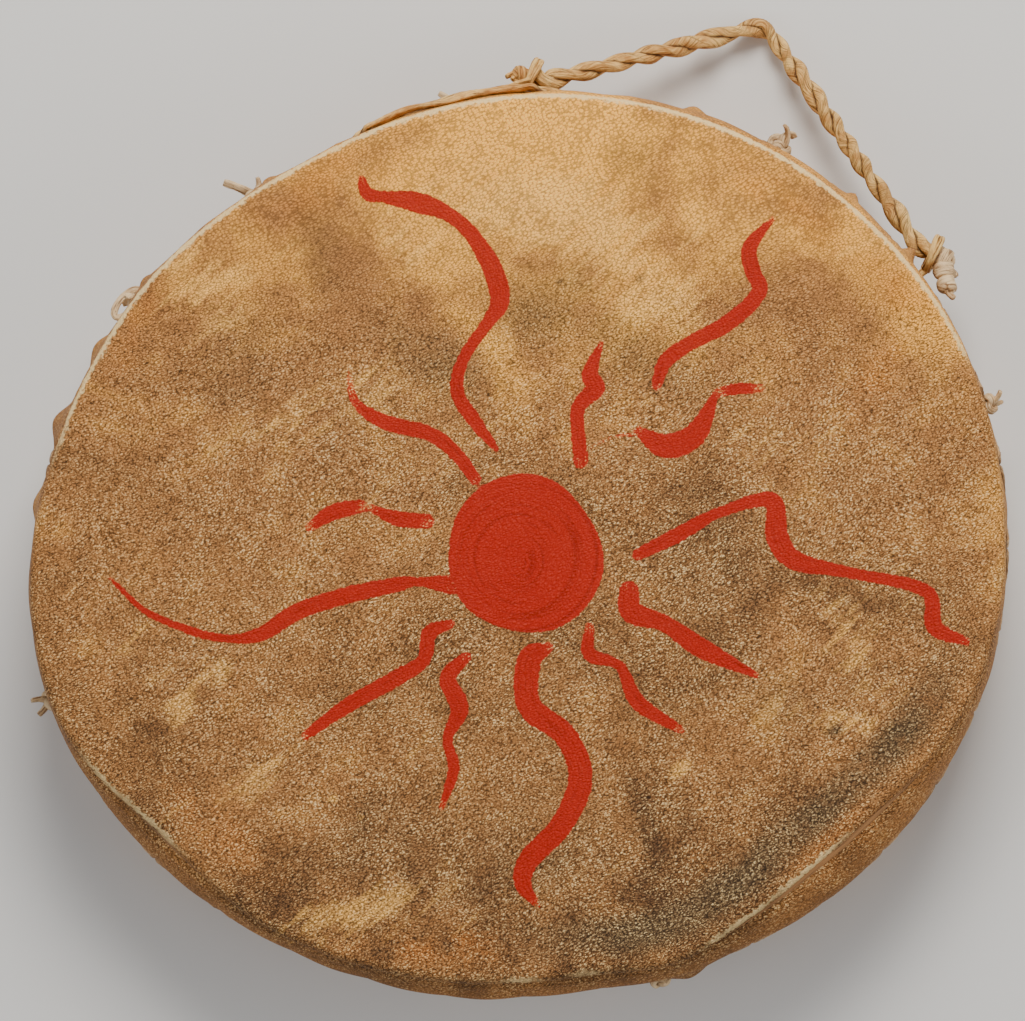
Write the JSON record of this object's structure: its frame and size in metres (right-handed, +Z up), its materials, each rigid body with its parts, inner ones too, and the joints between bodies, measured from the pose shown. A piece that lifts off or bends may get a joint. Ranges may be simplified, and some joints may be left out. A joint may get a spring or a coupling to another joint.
{
  "type": "frame drum",
  "caption": "Hand-made rawhide hoop drum, laced round its side wall, with a painted sun on the front head and a twisted rawhide carrying loop.",
  "frame": {"origin": "middle of the back head's underside, where the drum rests", "axes": "+Z up through the painted front head, +Y towards the side where the carrying loop is tied"},
  "size_m": [0.338, 0.329, 0.0638],
  "materials": {
    "hoop_wood": "oiled, satin",
    "painted_rawhide": "satin rawhide with matt red paint",
    "plain_rawhide": "satin rawhide",
    "thong_rawhide": "dry, matt",
    "cord_rawhide": "dry, matt"
  },
  "bodies": {
    "drum": {"hoop": "hoop_wood", "scarf_stitches": "thong_rawhide", "front_head": "painted_rawhide", "back_head": "plain_rawhide", "lacing_1": "thong_rawhide", "lacing_2": "thong_rawhide", "lacing_3": "thong_rawhide", "lacing_4": "thong_rawhide", "lacing_5": "thong_rawhide", "lacing_6": "thong_rawhide", "lacing_7": "thong_rawhide", "lacing_knot_1": "thong_rawhide", "lacing_knot_2": "thong_rawhide", "lacing_knot_3": "thong_rawhide", "lacing_knot_4": "thong_rawhide", "lacing_knot_5": "thong_rawhide", "lacing_knot_6": "thong_rawhide", "lacing_knot_7": "thong_rawhide", "tie_strap": "thong_rawhide", "handle_eye_left": "thong_rawhide", "handle_eye_right": "thong_rawhide"},
    "handle": {"handle_ply_a": "cord_rawhide", "handle_ply_b": "cord_rawhide", "handle_knot_left": "cord_rawhide", "handle_knot_right": "cord_rawhide"}
  },
  "joints": [
    {"name": "loop_swing", "type": "hinge", "parent": "drum", "child": "handle", "pos_m": [0.00199, 0.15969, 0.0319], "axis": [0.9135, -0.4069, 0], "range_deg": [0, 65]}
  ]
}
